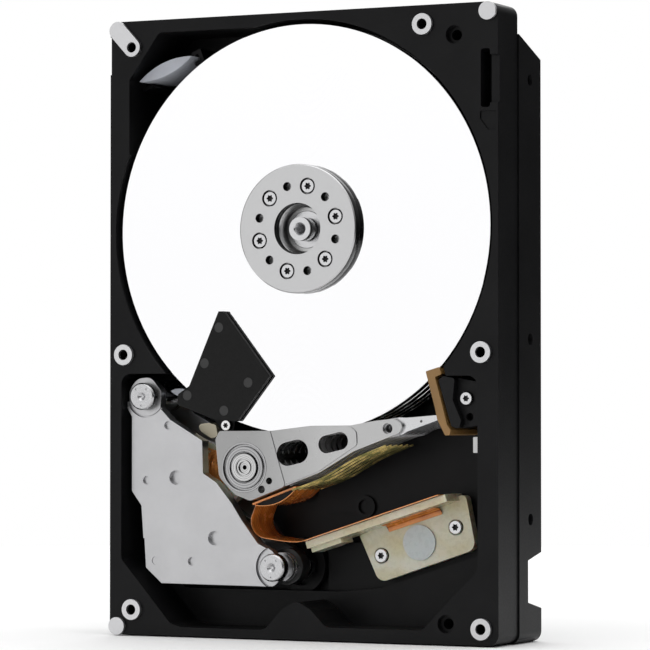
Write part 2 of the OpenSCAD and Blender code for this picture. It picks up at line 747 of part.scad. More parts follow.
magnet_r = [13.4, 24.8];
module lower_magnet() {
    color(bright) sector(pivot, magnet_r[0], magnet_r[1], 164, 262, yoke_z[1], yoke_z[1] + 2.3);
}
module upper_magnet() {
    color(bright) sector(pivot, magnet_r[0], magnet_r[1], 164, 262, top_yoke_z[0] - 2.3,
                         top_yoke_z[0]);
}

module yoke_posts() {
    color(bright) for (p = post_at) difference() {
        union() {
            disc(p, 1.9, yoke_z[0], yoke_z[1] + 0.5);
            disc(p, post_r, yoke_z[1], top_yoke_z[0]);
        }
        disc(p, 1.5, 12, 30);
        ring(p, post_r - 0.35, post_r + over, 10.2, 10.8);
        ring(p, post_r - 0.35, post_r + over, 17.4, 18);
    }
}

// Headed pins that hold the upper yoke on its posts.
module yoke_pins() {
    z = top_yoke_z[1] - collar_drop;
    color(bright) for (p = post_at) difference() {
        union() {
            disc(p, 1.48, z - 8, z + 0.5);
            disc(p, pin_head_r, z, z + 2.2);
            cone(p, pin_head_r, pin_head_r - 0.35, z + 2.2, z + 2.6);
        }
        cone(p, 0.3, 1.1, z + 1.9, z + 2.61);
        for (a = [50, 130, 270]) disc(polar(p, 2.2, a), 0.28, z + 2.4, z + 3);
    }
}

park_stop = [
    [-31.2, 50.3, 0.8], [-30, 48.6, 0.6], [-27.2, 46.9, 1.2], [-25.6, 47.6, 0.9],
    [-26.1, 50.2, 0.5], [-28, 50.7, 0.6]
];
module crash_stops() {
    color([0.8, 0.74, 0.58]) {
        ring(post_at[1], post_r + hair, post_r + 0.9, 12.2, 16.2);
        slab(park_stop, yoke_z[1], 16.4);
    }
}

/* ---- parking latch ---- */
latch_at = [-38.6, 17.6];
latch_z = [11.4, 15];
latch_outline = [
    [-40.2, 16.6, 0.8], [-38.4, 15.6, 0.8], [-36.6, 17.2, 0.8], [-37.6, 19.4, 0.8],
    [-41.6, 24.4, 1], [-42.5, 26.6, 0.4], [-42, 27.8, 0.3], [-43.2, 28.6, 0.4],
    [-44.3, 26.2, 0.8], [-43.2, 22.6, 1]
];
module parking_latch() {
    color(dark_plastic) difference() {
        union() {
            slab(latch_outline, latch_z[0], latch_z[1]);
            disc(latch_at, 1.9, latch_z[0], latch_z[1]);
        }
        disc(latch_at, 0.9 + slip, 0, 30);
    }
}
module latch_pin() {
    color(bright) union() {
        disc(latch_at, 0.9 - hair, yoke_z[0], 16.4);
        disc(latch_at, 1.6, yoke_z[1], latch_z[0] - 0.1);
    }
}

/* ---- ramp, damper and filters ---- */
ramp_screw_at = [41.6, 56.4];
carrier_hole_at = [42.2, 52.2];
ramp_z = [7.9, 24.2];
ramp_track_r = 52.9;
ramp_outline = [
    [32.3, 62.6, 0.3], [35.7, 63.6, 0.3], [36.2, 62, 0.2], [34.6, 61.3, 0.3], [36.4, 55, 0.2],
    [37.6, 50.4, 0.3], [38.5, 49.2, 0.2], [38.4, 48.2, 0.2], [37.2, 47.9, 0.4], [35.2, 51.6, 0.3],
    [34.6, 54.4, 0.3]
];
module ramp_pillar() { disc([42.2, 56.4], 3, well_z - 0.5, 16); }

module load_ramp() {
    color(amber) difference() {
        slab(ramp_outline, ramp_z[0], ramp_z[1]);
        // room for the disks' edges
        for (i = [0:disk_count - 1])
            disc(spindle, disk_r + 0.5, disk_top_z(i) - disk_t - 0.36, disk_top_z(i) + 0.36);
        // tracks for the lift tabs, on both sides of a rib between two disks
        for (k = [0:arm_count - 1]) for (s = [-1, 1]) if ((k > 0 || s < 0) && (k < disk_count || s > 0))
            ring(pivot, 40, ramp_track_r, arm_mid_z(k) + s * 0.65 - 0.15, arm_mid_z(k) + s * 0.65 + 0.15);
    }
}

carrier_outline = [
    [36.5, 61.5, 0.3], [39.6, 61, 1], [45.2, 60, 1], [45.2, 50.4, 1.2], [39.8, 49.6, 0.3],
    [38.6, 50.1, 0.3], [36.9, 55.6, 0.2], [35.4, 60.6, 0.2]
];
carrier_ridge = [
    [36.5, 61.5, 0.3], [39.4, 61, 0.6], [38.9, 56, 0.6], [41, 51.4, 0.6], [40.6, 49.8, 0.3],
    [39.8, 49.6, 0.3], [38.6, 50.1, 0.3], [36.9, 55.6, 0.2], [35.4, 60.6, 0.2]
];
module ramp_carrier() {
    color(dark_plastic) difference() {
        union() {
            slab(carrier_outline, 16, 21.6);
            slab(carrier_ridge, 21.5, 23.9);
        }
        disc(spindle, disk_r + 0.5, 0, 40);
        disc(ramp_screw_at, 1, 0, 30);
        disc(carrier_hole_at, 0.9, 19, 30);
    }
}
module ramp_screw() { color(bright) screw(ramp_screw_at, 21.6, 1.6, 0.9, 0.93, 9); }

damper_screw_at = [-22.9, 50.1];
ejector_at = [[-21.2, 73.2], [-25, 64.8], [-13.4, 60.2], [-19.8, 53.6], [-29.6, 57.2]];
ejector_r = 1.2;
damper_top = [
    [-21.2, 77, 0], [-19.8, 77, 0], [-7.6, 61.7, 0.2], [-16.2, 51.1, 0.4], [-22, 51.4, 0.4],
    [-27, 53.4, 0.5], [-29.2, 59, 0.3]
];
// The topmost fin reaches further out than the others.
damper_cap = [
    [-22, 51.4, 0.4], [-32.2, 55, 0.6], [-32, 57.5, 0.4], [-28.9, 59.5, 0], [-24, 57, 0]
];
damper_spine = [
    [-30.4, 57.2, 0.6], [-28.2, 54, 0.4], [-22.4, 51.8, 0.5], [-16.4, 51.3, 0.3], [-17, 53, 0]
];
damper_foot = [
    [-28.2, 54.4, 0.3], [-25, 49.6, 1.6], [-24.4, 48.3, 1.2], [-21.3, 48.4, 1.5],
    [-20.6, 52.4, 0.4]
];
damper_z = 11;
damper_foot_z = 16.6;
module damper_pillar() { disc(damper_screw_at, 1.5, deep_z - 0.2, damper_z); }

module disk_damper() {
    color(dark_plastic) difference() {
        union() {
            for (i = [0:disk_count - 1])
                slab(damper_top, arm_mid_z(i) - 0.45, arm_mid_z(i) + (i == 0 ? 0.6 : 0.45));
            slab(damper_cap, arm_mid_z(0) - 0.45, arm_mid_z(0) + 0.6);
            slab(damper_foot, damper_z, damper_foot_z);
            difference() {
                slab(damper_spine, damper_z, arm_mid_z(0) + 0.4);
                disc(spindle, disk_r + 0.5, 0, 40);
            }
        }
        disc(damper_screw_at, 1.5, damper_foot_z, 40);
        disc(damper_screw_at, 1, 0, 40);
        for (p = ejector_at) disc(p, ejector_r, arm_mid_z(0) + 0.5, 40);
    }
}
module damper_screw() { color(bright) screw(damper_screw_at, damper_foot_z, 1.35, 0.9, 0.93, 8); }

module lens_outline(l, t) {
    r = (l * l / 4 + t * t / 4) / t;
    intersection() {
        translate([0, t / 2 - r]) circle(r = r);
        translate([0, r - t / 2]) circle(r = r);
    }
}
filter_at = [-37.3, 135.2];
filter_turn = 21.6;
filter_l = 15.4;
module corner_filter() {
    color([0.93, 0.93, 0.95]) translate([filter_at.x, filter_at.y, well_z]) rotate(filter_turn)
        linear_extrude(14.2) lens_outline(filter_l, 3.2);
}
// Two slotted posts that hold the corner filter by its edges.
module filter_posts() {
    translate([filter_at.x, filter_at.y, well_z - 0.2]) rotate(filter_turn)
        for (s = [-1, 1]) scale([s, 1, 1]) difference() {
            translate([filter_l / 2 - 1.4, -1.7, 0]) cube([2.6, 3.4, 11]);
            translate([filter_l / 2 - 2, -0.8, -over]) cube([2.2, 1.6, 13]);
        }
}
module side_filter() {
    color([0.93, 0.93, 0.95]) translate([-34.2, 57.9, deep_z]) rotate(-8)
        linear_extrude(12.8) lens_outline(5.8, 1.9);
}

/* ---- circuit board ---- */
board_z = [0.5, 1.5];
board_outline = [
    [-43.6, 1, 1], [43.6, 1, 1], [43.6, 65.6, 1.5], [24, 65.6, 1], [20, 62, 2],
    [-20, 62, 2], [-24, 65.6, 1], [-43.6, 65.6, 1.5]
];
module circuit_board() {
    color(board_green) difference() {
        slab(board_outline, board_z[0], board_z[1]);
        for (p = board_screw_at) disc(p, 1.1, -over, 3);
    }
}
module board_screws() {
    color(bright) for (p = board_screw_at) translate([p.x, p.y, board_z[0] + 1.6])
        mirror([0, 0, 1]) screw([0, 0], 1.6, 1.8, 0.45, 0.88, 4);
}
chip_z = board_z[1];
controller = [[8, 26], [22, 40], 1.4];
cache = [[-8, 28], [3, 37], 1];
driver = [[-30, 40], [-20, 50], 1.1];
module chip(c) {
    color(dark_plastic) slab(box_outline(c[0].x, c[0].y, c[1].x, c[1].y, 0.2), chip_z, chip_z + c[2]);
}
passive_cols = [[-36, 16], [-14, 40], [28, 44], [30, 10], [-14, 18]];
module board_passives() {
    color([0.6, 0.5, 0.36]) for (c = passive_cols) for (i = [0:3]) for (j = [0:2])
        translate([c.x + i * 2.2, c.y + j * 3, chip_z]) cube([1.1, 1.8, 0.7]);
    color([0.2, 0.2, 0.22]) for (x = [-39, -32]) translate([x, 52, chip_z]) cube([4.4, 4.4, 1.8]);
}
module board_foam() {
    color([0.25, 0.25, 0.27]) difference() {
        slab(box_outline(-41, 12, 41, 58, 2), board_z[1] + 0.5, board_pocket_z - hair);
        for (c = [controller, cache, driver])
            slab(box_outline(c[0].x - 1, c[0].y - 1, c[1].x + 1, c[1].y + 1, 0.2), 0, 5);
        for (c = passive_cols)
            slab(box_outline(c.x - 1, c.y - 1, c.x + 8.8, c.y + 8.8, 0.2), 0, 5);
        slab(box_outline(-40, 51, -26.6, 58, 0.2), 0, 5);
        for (p = board_screw_at) disc(p, 3, 0, 5);
        translate([24.6, 20.6, 0]) rotate(wall_dir) translate([-8, -3, 0]) cube([16, 6, 9]);
    }
}

sata_x = [-40.8, 0.8];
module sata_connector() {
    x0 = sata_x[0];
    x1 = sata_x[1];
    color(dark_plastic) union() {
        translate([x0, 5.6, board_z[1]]) cube([x1 - x0, 3.4, 5.4]);
        translate([x0, 0.4, board_z[1]]) cube([2.4, 5.4, 5.4]);
        translate([x1 - 2.4, 0.4, board_z[1]]) cube([2.4, 5.4, 5.4]);
        translate([x0, 0.8, board_z[1]]) cube([x1 - x0, 5, 0.7]);
        translate([x0 + 4.2, 0.9, 4.1]) cube([20.4, 5, 1.2]);
        translate([x0 + 4.2, 0.9, 2.9]) cube([1.2, 5, 1.3]);
        translate([x0 + 27, 0.9, 4.1]) cube([10.2, 5, 1.2]);
        translate([x0 + 27, 0.9, 2.9]) cube([1.2, 5, 1.3]);
    }
}
module sata_contacts() {
    x0 = sata_x[0];
    color(gold) {
        for (i = [0:14]) translate([x0 + 6 + i * 1.27, 1.2, 4.1 - 0.2]) cube([0.7, 4.4, 0.2]);
        for (i = [0:6]) translate([x0 + 28.9 + i * 1.2, 1.2, 4.1 - 0.2]) cube([0.7, 4.4, 0.2]);
    }
}

/* ---- the drive, set upright ---- */
stand() base_casting();
stand() spindle_shaft();
stand() stator_core();
stand() stator_windings();
stand() motor_flex();
stand() pivot_shaft();
stand() pivot_inner_races();
stand() lower_yoke();
stand() lower_magnet();
stand() upper_magnet();
stand() upper_yoke();
stand() yoke_posts();
stand() yoke_pins();
stand() crash_stops();
stand() load_ramp();
stand() ramp_carrier();
stand() ramp_screw();
stand() disk_damper();
stand() damper_screw();
stand() corner_filter();
stand() side_filter();
stand() flex_bracket();
stand() flex_bracket_screws();
stand() flex_connector();
stand() wall_pad();
stand() flex_loop();
stand() circuit_board();
stand() board_screws();
stand() board_foam();
stand() sata_connector();
stand() sata_contacts();
stand() chip(controller);  // controller_chip
stand() chip(cache);  // cache_chip
stand() chip(driver);  // motor_driver_chip
stand() board_passives();
stand() latch_pin();
stand() parking_latch();
stand() arm_block();
stand() pivot_sleeve();
stand() pivot_outer_races();
stand() pivot_balls();
stand() voice_coil();
stand() coil_frame();
stand() swage_plates();
stand() load_beams();
stand() head_sliders();
stand() head_traces();
stand() arm_flex_panel();
stand() preamp_chip();
stand() spindle_hub();
stand() bearing_sleeve();
stand() rotor_magnet();
stand() disk(0);  // disk_1
stand() disk(1);  // disk_2
stand() disk(2);  // disk_3
stand() disk(3);  // disk_4
stand() disk(4);  // disk_5
stand() spacer_rings();
stand() disk_clamp();
stand() clamp_screws();
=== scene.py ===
import json
import math

import bmesh
import bpy
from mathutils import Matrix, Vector


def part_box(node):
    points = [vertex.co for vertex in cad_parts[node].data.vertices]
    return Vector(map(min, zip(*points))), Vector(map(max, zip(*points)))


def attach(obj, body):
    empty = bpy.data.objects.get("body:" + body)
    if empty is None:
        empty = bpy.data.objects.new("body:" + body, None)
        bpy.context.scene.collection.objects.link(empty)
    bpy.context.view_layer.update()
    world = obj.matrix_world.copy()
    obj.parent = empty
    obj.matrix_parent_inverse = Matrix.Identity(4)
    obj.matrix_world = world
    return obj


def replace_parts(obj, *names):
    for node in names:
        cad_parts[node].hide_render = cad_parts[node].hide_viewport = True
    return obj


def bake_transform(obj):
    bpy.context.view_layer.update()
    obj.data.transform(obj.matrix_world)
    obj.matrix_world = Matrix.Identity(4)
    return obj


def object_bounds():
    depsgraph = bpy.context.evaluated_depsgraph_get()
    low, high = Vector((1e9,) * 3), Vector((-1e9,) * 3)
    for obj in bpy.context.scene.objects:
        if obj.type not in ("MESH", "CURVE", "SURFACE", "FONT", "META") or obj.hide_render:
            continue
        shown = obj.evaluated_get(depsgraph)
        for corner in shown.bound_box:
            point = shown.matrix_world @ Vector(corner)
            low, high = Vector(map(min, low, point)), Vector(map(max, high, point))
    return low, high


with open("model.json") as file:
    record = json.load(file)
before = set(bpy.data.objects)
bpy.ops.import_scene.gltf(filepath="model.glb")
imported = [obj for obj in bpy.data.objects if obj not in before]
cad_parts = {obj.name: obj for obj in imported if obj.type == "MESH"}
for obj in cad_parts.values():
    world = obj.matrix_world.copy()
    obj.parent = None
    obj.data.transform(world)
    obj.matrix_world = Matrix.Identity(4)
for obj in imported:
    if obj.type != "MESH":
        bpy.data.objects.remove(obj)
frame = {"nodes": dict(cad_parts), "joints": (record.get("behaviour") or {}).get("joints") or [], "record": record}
CAD_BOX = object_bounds()
NODES = frame["nodes"]
MM = 0.001
SKY_ZENITH = 2.1  # brightness added straight above; lower down it goes with the square of the height
SKY_HORIZON = 0.02
FLOOR_R = 0.55
FLOOR_STEPS = 96
CAMERA_AZIMUTH, CAMERA_ELEVATION = 26.1, -1.39  # degrees, seen from the open side
CAMERA_DISTANCE = 0.8135
CAMERA_TARGET = Vector((0.00095, 0.0002, 0.0738))
LENS_MM, SENSOR_MM = 191.0, 36.0
LIGHTS = {  # place, what it is aimed at, width and height, watts
    "left_panel": ((-0.62, -1.2, 0.3), (0, 0, 0.09), (1.2, 1.0), 3.9),
    "back_fill": ((-0.5, 1.3, 0.6), (0, 0, 0.07), (0.8, 0.8), 3),
}


def joint_place(name):
    """A joint's axis crosses the drive at this (x, z)."""
    joint = next(j for j in frame["joints"] if j["name"] == name)
    return joint["pos_m"][0], joint["pos_m"][2]


LOW, HIGH = CAD_BOX  # the drive's box
SPINDLE = joint_place("spindle_spin")
PIVOT = joint_place("actuator_swing")
RIM_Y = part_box("arm_block")[0].y + 0.35 * MM  # close to the plane of the casting's rim
BARE_LIFT = 0.06 * MM  # the casting is bare metal where it stands out further than this


# ---- camera, light and floor ----
def camera():
    azimuth, elevation = math.radians(CAMERA_AZIMUTH), math.radians(CAMERA_ELEVATION)
    away = Vector(
        (
            math.sin(azimuth) * math.cos(elevation),
            -math.cos(azimuth) * math.cos(elevation),
            math.sin(elevation),
        )
    )
    data = bpy.data.cameras.new("camera")
    data.lens = LENS_MM
    data.sensor_width = SENSOR_MM
    data.clip_start = 0.01
    made = bpy.data.objects.new("camera", data)
    made.location = CAMERA_TARGET + away * CAMERA_DISTANCE
    made.rotation_euler = (-away).to_track_quat("-Z", "Y").to_euler()
    bpy.context.scene.collection.objects.link(made)
    bpy.context.scene.camera = made


def area_light(name, place, target, size, power):
    data = bpy.data.lights.new(name, "AREA")
    data.shape = "RECTANGLE"
    data.size, data.size_y = size
    data.energy = power
    made = bpy.data.objects.new(name, data)
    made.location = place
    made.rotation_euler = (Vector(target) - Vector(place)).to_track_quat("-Z", "Y").to_euler()
    bpy.context.scene.collection.objects.link(made)


def studio():
    """Light from high above, as in a light tent, and a white wall behind that only the camera sees."""
    world = bpy.data.worlds.new("studio")
    world.use_nodes = True
    tree = world.node_tree

    def maths(operation, source, value):
        node = tree.nodes.new("ShaderNodeMath")
        node.operation = operation
        tree.links.new(source, node.inputs[0])
        node.inputs[1].default_value = value
        return node.outputs[0]

    split = tree.nodes.new("ShaderNodeSeparateXYZ")
    tree.links.new(tree.nodes.new("ShaderNodeTexCoord").outputs["Generated"], split.inputs[0])
    height = maths("MAXIMUM", split.outputs["Z"], 0)
    sky = maths("ADD", maths("MULTIPLY", maths("POWER", height, 2), SKY_ZENITH), SKY_HORIZON)
    lit = tree.nodes["Background"]
    tree.links.new(sky, lit.inputs["Strength"])
    wall = tree.nodes.new("ShaderNodeBackground")
    for background in (lit, wall):
        background.inputs["Color"].default_value = (1, 1, 1, 1)
    mix = tree.nodes.new("ShaderNodeMixShader")
    tree.links.new(tree.nodes.new("ShaderNodeLightPath").outputs["Is Camera Ray"], mix.inputs["Fac"])
    tree.links.new(lit.outputs[0], mix.inputs[1])
    tree.links.new(wall.outputs[0], mix.inputs[2])
    tree.links.new(mix.outputs[0], tree.nodes["World Output"].inputs["Surface"])
    bpy.context.scene.world = world
    bpy.context.scene.view_settings.view_transform = "Standard"
    # The left panel is what the disks mirror towards the camera.
    for name, facts in LIGHTS.items():
        area_light(name, *facts)


def floor():
    """A pale disc under the drive: its rim is white like the wall, so no edge shows."""
    turns = [math.tau * i / FLOOR_STEPS for i in range(FLOOR_STEPS)]
    ring = [(FLOOR_R * math.cos(a), FLOOR_R * math.sin(a), 0) for a in turns]
    mesh = bpy.data.meshes.new("floor")
    mesh.from_pydata(ring, [], [list(range(FLOOR_STEPS))])
    mesh.materials.append(surface("floor_white", grey(0.95), roughness=0.8, depth=0, vary=0.005))
    made = bpy.data.objects.new("floor", mesh)
    bpy.context.scene.collection.objects.link(made)


# ---- the drive's own plan, in mm: x across, y from the connector end, z up from its mounting face ----
def flat(x, y, z):
    """A place of the plan in the row frame."""
    return x * MM, HIGH.y - z * MM, LOW.z + y * MM


def flat_pair(place):
    """The x and z in the row frame of an (x, y) of the plan."""
    x, _, z = flat(*place, 0)
    return x, z


def grey(level):
    return (level,) * 3


# ---- materials ----
BRACKET_CAP, BRACKET_CAP_R = (25, 22.9), 4.15 * MM  # the round mark in the cable's bracket
ARM_REACH = 0.05  # from the pivot along the arms
EJECTOR_MM = (0.08, 0.13)  # how deep the ejector marks lie in the damper's top
SHADE_WALL_NORMAL = 0.6  # a face is a wall if its normal leans less than this out of the open side; turned walls get painted shade


class Nodes:
    """A material's node tree, with the Principled shader at its end."""

    def __init__(self, name):
        self.material = bpy.data.materials.new(name)
        self.material.use_nodes = True
        self.tree = self.material.node_tree
        self.shader = self.tree.nodes["Principled BSDF"]
        self.place = self.add("ShaderNodeTexCoord").outputs["Object"]
        self.split = self.add("ShaderNodeSeparateXYZ")
        self.link(self.place, self.split.inputs["Vector"])

    def add(self, kind, **inputs):
        node = self.tree.nodes.new(kind)
        for key, value in inputs.items():
            node.inputs[key.replace("_", " ")].default_value = value
        return node

    def link(self, source, target):
        self.tree.links.new(source, target)

    def noise(self, scale, detail=4.0, roughness=0.6, stretch=(1, 1, 1)):
        mapping = self.add("ShaderNodeMapping")
        mapping.inputs["Scale"].default_value = stretch
        self.link(self.place, mapping.inputs["Vector"])
        node = self.add("ShaderNodeTexNoise", Scale=scale, Detail=detail, Roughness=roughness)
        self.link(mapping.outputs["Vector"], node.inputs["Vector"])
        return node.outputs["Fac"]

    def rings(self, centre, scale, distortion=0.4):
        """Fine marks of turning round an axis along Y."""
        mapping = self.add("ShaderNodeMapping")
        mapping.inputs["Location"].default_value = (-centre[0], 0, -centre[1])
        self.link(self.place, mapping.inputs["Vector"])
        node = self.add("ShaderNodeTexWave", Scale=scale, Distortion=distortion)
        node.wave_type = "RINGS"
        node.rings_direction = "Y"
        self.link(mapping.outputs["Vector"], node.inputs["Vector"])
        return node.outputs["Fac"]

    def ramp(self, factor, low, high, dark, light):
        """Colours or greys between two levels of a factor."""
        node = self.add("ShaderNodeValToRGB")
        node.color_ramp.elements[0].position = low
        node.color_ramp.elements[1].position = high
        node.color_ramp.elements[0].color = (*dark, 1)
        node.color_ramp.elements[1].color = (*light, 1)
        self.link(factor, node.inputs["Fac"])
        return node.outputs["Color"]

    def stripes(self, direction, scale, distortion=0.0):
        """Straight bands that alternate along one axis."""
        node = self.add("ShaderNodeTexWave", Scale=scale, Distortion=distortion)
        node.wave_type = "BANDS"
        node.bands_direction = direction
        self.link(self.place, node.inputs["Vector"])
        return node.outputs["Fac"]

    def maths(self, operation, source, value=0.0):
        """One step of arithmetic on a socket with a number or a second socket."""
        node = self.add("ShaderNodeMath")
        node.operation = operation
        self.link(source, node.inputs[0])
        if isinstance(value, (int, float)):
            node.inputs[1].default_value = value
        else:
            self.link(value, node.inputs[1])
        return node.outputs[0]

    def mix(self, factor, first, second):
        """A colour between two, each a socket or a plain colour."""
        node = self.add("ShaderNodeMix")
        node.data_type = "RGBA"
        self.link(factor, node.inputs["Factor"])
        for place, colour in ((6, first), (7, second)):
            if isinstance(colour, tuple):
                node.inputs[place].default_value = (*colour, 1)
            else:
                self.link(colour, node.inputs[place])
        return node.outputs[2]

    def axes(self):
        """The x, y and z of a place on the piece."""
        return self.split.outputs["X"], self.split.outputs["Y"], self.split.outputs["Z"]

    def within(self, centre, radius):
        """1 inside a radius round an axis along Y, else 0."""
        x, _, z = self.axes()
        squares = []
        for axis, middle in ((x, centre[0]), (z, centre[1])):
            off = self.maths("SUBTRACT", axis, middle)
            squares.append(self.maths("MULTIPLY", off, off))
        return self.maths("LESS_THAN", self.maths("ADD", *squares), radius**2)

    def bump(self, height, strength, distance):
        node = self.add("ShaderNodeBump", Strength=strength, Distance=distance)
        self.link(height, node.inputs["Height"])
        self.link(node.outputs["Normal"], self.shader.inputs["Normal"])

    def set(self, **inputs):
        for key, value in inputs.items():
            self.shader.inputs[key.replace("_", " ")].default_value = value


def shade(colour, amount):
    return tuple(min(1, c * amount) for c in colour)


def surface(
    name, colour, roughness=0.5, metallic=0.0, grain=900, depth=0.1, vary=0.08, coat=0.0, shine=0.5
):
    """A surface with fine grain: its colour and roughness vary a little with it."""
    n = Nodes(name)
    n.set(Metallic=metallic, Coat_Weight=coat, Coat_Roughness=0.08, Specular_IOR_Level=shine)
    fine = n.noise(grain)
    broad = n.noise(grain * 0.06, detail=3)
    n.link(
        n.ramp(broad, 0.3, 0.7, shade(colour, 1 - vary), shade(colour, 1 + vary)),
        n.shader.inputs["Base Color"],
    )
    n.link(
        n.ramp(fine, 0.3, 0.7, grey(roughness * 0.85), grey(min(1, roughness * 1.15))),
        n.shader.inputs["Roughness"],
    )
    if depth:
        n.bump(fine, depth, 0.00005)
    return n.material


def turned(name, colour, roughness, centre, scale=2500, wall=None, contrast=0.04):
    """Metal turned on a lathe round an axis along Y; its upright walls may be painted dark, as painted shade."""
    n = Nodes(name)
    n.set(Metallic=1.0)
    marks = n.rings(centre, scale)
    tone = n.ramp(marks, 0.2, 0.8, shade(colour, 1 - contrast), shade(colour, 1 + contrast))
    # Painted shade: faces that stand upright, away from the open side, take the dark wall tone.
    if wall:
        facing = n.add("ShaderNodeSeparateXYZ")
        n.link(n.add("ShaderNodeTexCoord").outputs["Normal"], facing.inputs["Vector"])
        painted_shade_walls = n.maths("LESS_THAN", n.maths("ABSOLUTE", facing.outputs["Y"]), SHADE_WALL_NORMAL)
        tone = n.mix(painted_shade_walls, tone, wall)
    n.link(tone, n.shader.inputs["Base Color"])
    n.link(
        n.ramp(marks, 0.2, 0.8, grey(roughness * 0.8), grey(roughness * 1.2)),
        n.shader.inputs["Roughness"],
    )
    n.bump(marks, 0.08, 0.00001)
    return n.material


def casting_material():
    """Black coat, worn to bare metal where the pads and screw bosses are machined."""
    n = Nodes("black_coat")
    bare = n.maths("LESS_THAN", n.axes()[1], RIM_Y - BARE_LIFT)
    fine = n.noise(2600, detail=2)
    cloud = n.noise(70, detail=3)
    coat = n.ramp(cloud, 0.3, 0.7, (0.0045, 0.0045, 0.005), (0.0075, 0.0075, 0.008))
    n.link(n.mix(bare, coat, (0.62, 0.62, 0.63)), n.shader.inputs["Base Color"])
    n.link(bare, n.shader.inputs["Metallic"])
    n.link(n.ramp(fine, 0.3, 0.7, grey(0.3), grey(0.42)), n.shader.inputs["Roughness"])
    n.set(Specular_IOR_Level=0.13)
    n.bump(fine, 0.25, 0.00004)
    return n.material


def cream_material():
    """Milky, slightly see-through moulding with swirls of flow and a cooler round mark."""
    n = Nodes("cream_plastic")
    flow = n.noise(90, detail=3, roughness=0.5, stretch=(1, 1, 1.6))
    body = n.ramp(flow, 0.32, 0.66, (0.6, 0.53, 0.3), (0.72, 0.7, 0.58))
    cap = n.within(flat_pair(BRACKET_CAP), BRACKET_CAP_R)
    n.link(n.mix(cap, body, (0.55, 0.6, 0.6)), n.shader.inputs["Base Color"])
    fine = n.noise(900)
    n.link(n.ramp(fine, 0.3, 0.7, grey(0.22), grey(0.34)), n.shader.inputs["Roughness"])
    n.set(Subsurface_Weight=0.3, Subsurface_Scale=0.0015, Coat_Weight=0.5, Coat_Roughness=0.12)
    n.bump(flow, 0.1, 0.00008)
    return n.material


def film_material():
    """Amber film over copper tracks that run along the ribbon."""
    n = Nodes("polyimide")
    tracks = n.stripes("Y", 420)
    cloud = n.noise(300, detail=3)
    glow = n.ramp(cloud, 0.35, 0.65, (0.32, 0.06, 0.005), (0.9, 0.27, 0.03))
    n.link(n.mix(tracks, glow, (0.9, 0.34, 0.07)), n.shader.inputs["Base Color"])
    n.link(n.ramp(cloud, 0.3, 0.7, grey(0.16), grey(0.3)), n.shader.inputs["Roughness"])
    n.set(Metallic=0.15, Coat_Weight=1.0, Coat_Roughness=0.05)
    n.bump(tracks, 0.3, 0.00002)
    return n.material


def stop_material():
    """The outer stop is cream and the one round the post is black, moulded in two shots."""
    n = Nodes("stop_rubber")
    outer = n.maths("GREATER_THAN", n.axes()[2], PIVOT[1])
    cloud = n.noise(500, detail=3)
    black = n.ramp(cloud, 0.3, 0.7, grey(0.012), grey(0.02))
    n.link(n.mix(outer, black, (0.82, 0.74, 0.55)), n.shader.inputs["Base Color"])
    n.set(Roughness=0.3)
    n.bump(cloud, 0.1, 0.00003)
    return n.material


def head_material(node, colour, painted_shade_depth):
    """Bright screw heads with painted shade: the socket and what lies deeper than a rim's height are painted near
    black.
    """
    n = Nodes(node + "_steel")
    # Painted shade: everything deeper than the given depth, socket and head sides, is near black.
    below = n.maths("GREATER_THAN", n.axes()[1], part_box(node)[0].y + painted_shade_depth * MM)
    fine = n.noise(1500)
    tone = n.ramp(fine, 0.3, 0.7, shade(colour, 0.94), shade(colour, 1.05))
    n.link(n.mix(below, tone, grey(0.02)), n.shader.inputs["Base Color"])
    n.link(n.ramp(fine, 0.3, 0.7, grey(0.2), grey(0.3)), n.shader.inputs["Roughness"])
    n.set(Metallic=1.0)
    return n.material


def block_material():
    """Machined aluminium, brighter towards the arms than on the block."""
    n = Nodes("arm_aluminium")
    reach = n.maths("DIVIDE", n.maths("SUBTRACT", n.axes()[0], PIVOT[0]), ARM_REACH)
    n.link(n.ramp(reach, 0.02, 0.42, grey(0.33), grey(0.47)), n.shader.inputs["Base Color"])
    fine = n.noise(1800)
    n.link(n.ramp(fine, 0.3, 0.7, grey(0.27), grey(0.37)), n.shader.inputs["Roughness"])
    n.set(Metallic=1.0)
    n.bump(fine, 0.1, 0.00005)
    return n.material


def damper_material():
    """Black moulding with the paler round marks that ejector pins leave."""
    n = Nodes("damper_plastic")
    depth = n.maths("SUBTRACT", n.axes()[1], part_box("disk_damper")[0].y)
    low, high = (amount * MM for amount in EJECTOR_MM)
    below = n.maths("GREATER_THAN", depth, low)
    sunk = n.maths("MULTIPLY", below, n.maths("LESS_THAN", depth, high))
    fine = n.noise(1600)
    tone = n.ramp(fine, 0.3, 0.7, grey(0.005), grey(0.008))
    n.link(n.mix(sunk, tone, grey(0.05)), n.shader.inputs["Base Color"])
    n.set(Roughness=0.55, Specular_IOR_Level=0.18)
    n.bump(fine, 0.14, 0.00005)
    return n.material


def gold_material():
    """Gold tracks that dull to olive along their length."""
    n = Nodes("gold_contact")
    patch = n.noise(260, detail=2)
    n.link(
        n.ramp(patch, 0.4, 0.6, (0.24, 0.22, 0.07), (0.75, 0.56, 0.2)),
        n.shader.inputs["Base Color"],
    )
    n.set(Metallic=1.0, Roughness=0.24)
    return n.material


def board_material():
    """Solder mask over tracks: two crossing sets of lines, broken up by noise."""
    n = Nodes("board_laminate")
    along = n.stripes("X", 340, 1.2)
    across = n.stripes("Z", 300, 1.4)
    broken = n.maths("GREATER_THAN", n.noise(60, detail=1), 0.5)
    lines = n.mix(broken, along, across)
    n.link(
        n.ramp(lines, 0.55, 0.75, (0.005, 0.042, 0.02), (0.007, 0.062, 0.028)),
        n.shader.inputs["Base Color"],
    )
    n.set(Roughness=0.28, Coat_Weight=0.5, Coat_Roughness=0.1)
    n.bump(lines, 0.3, 0.00003)
    return n.material


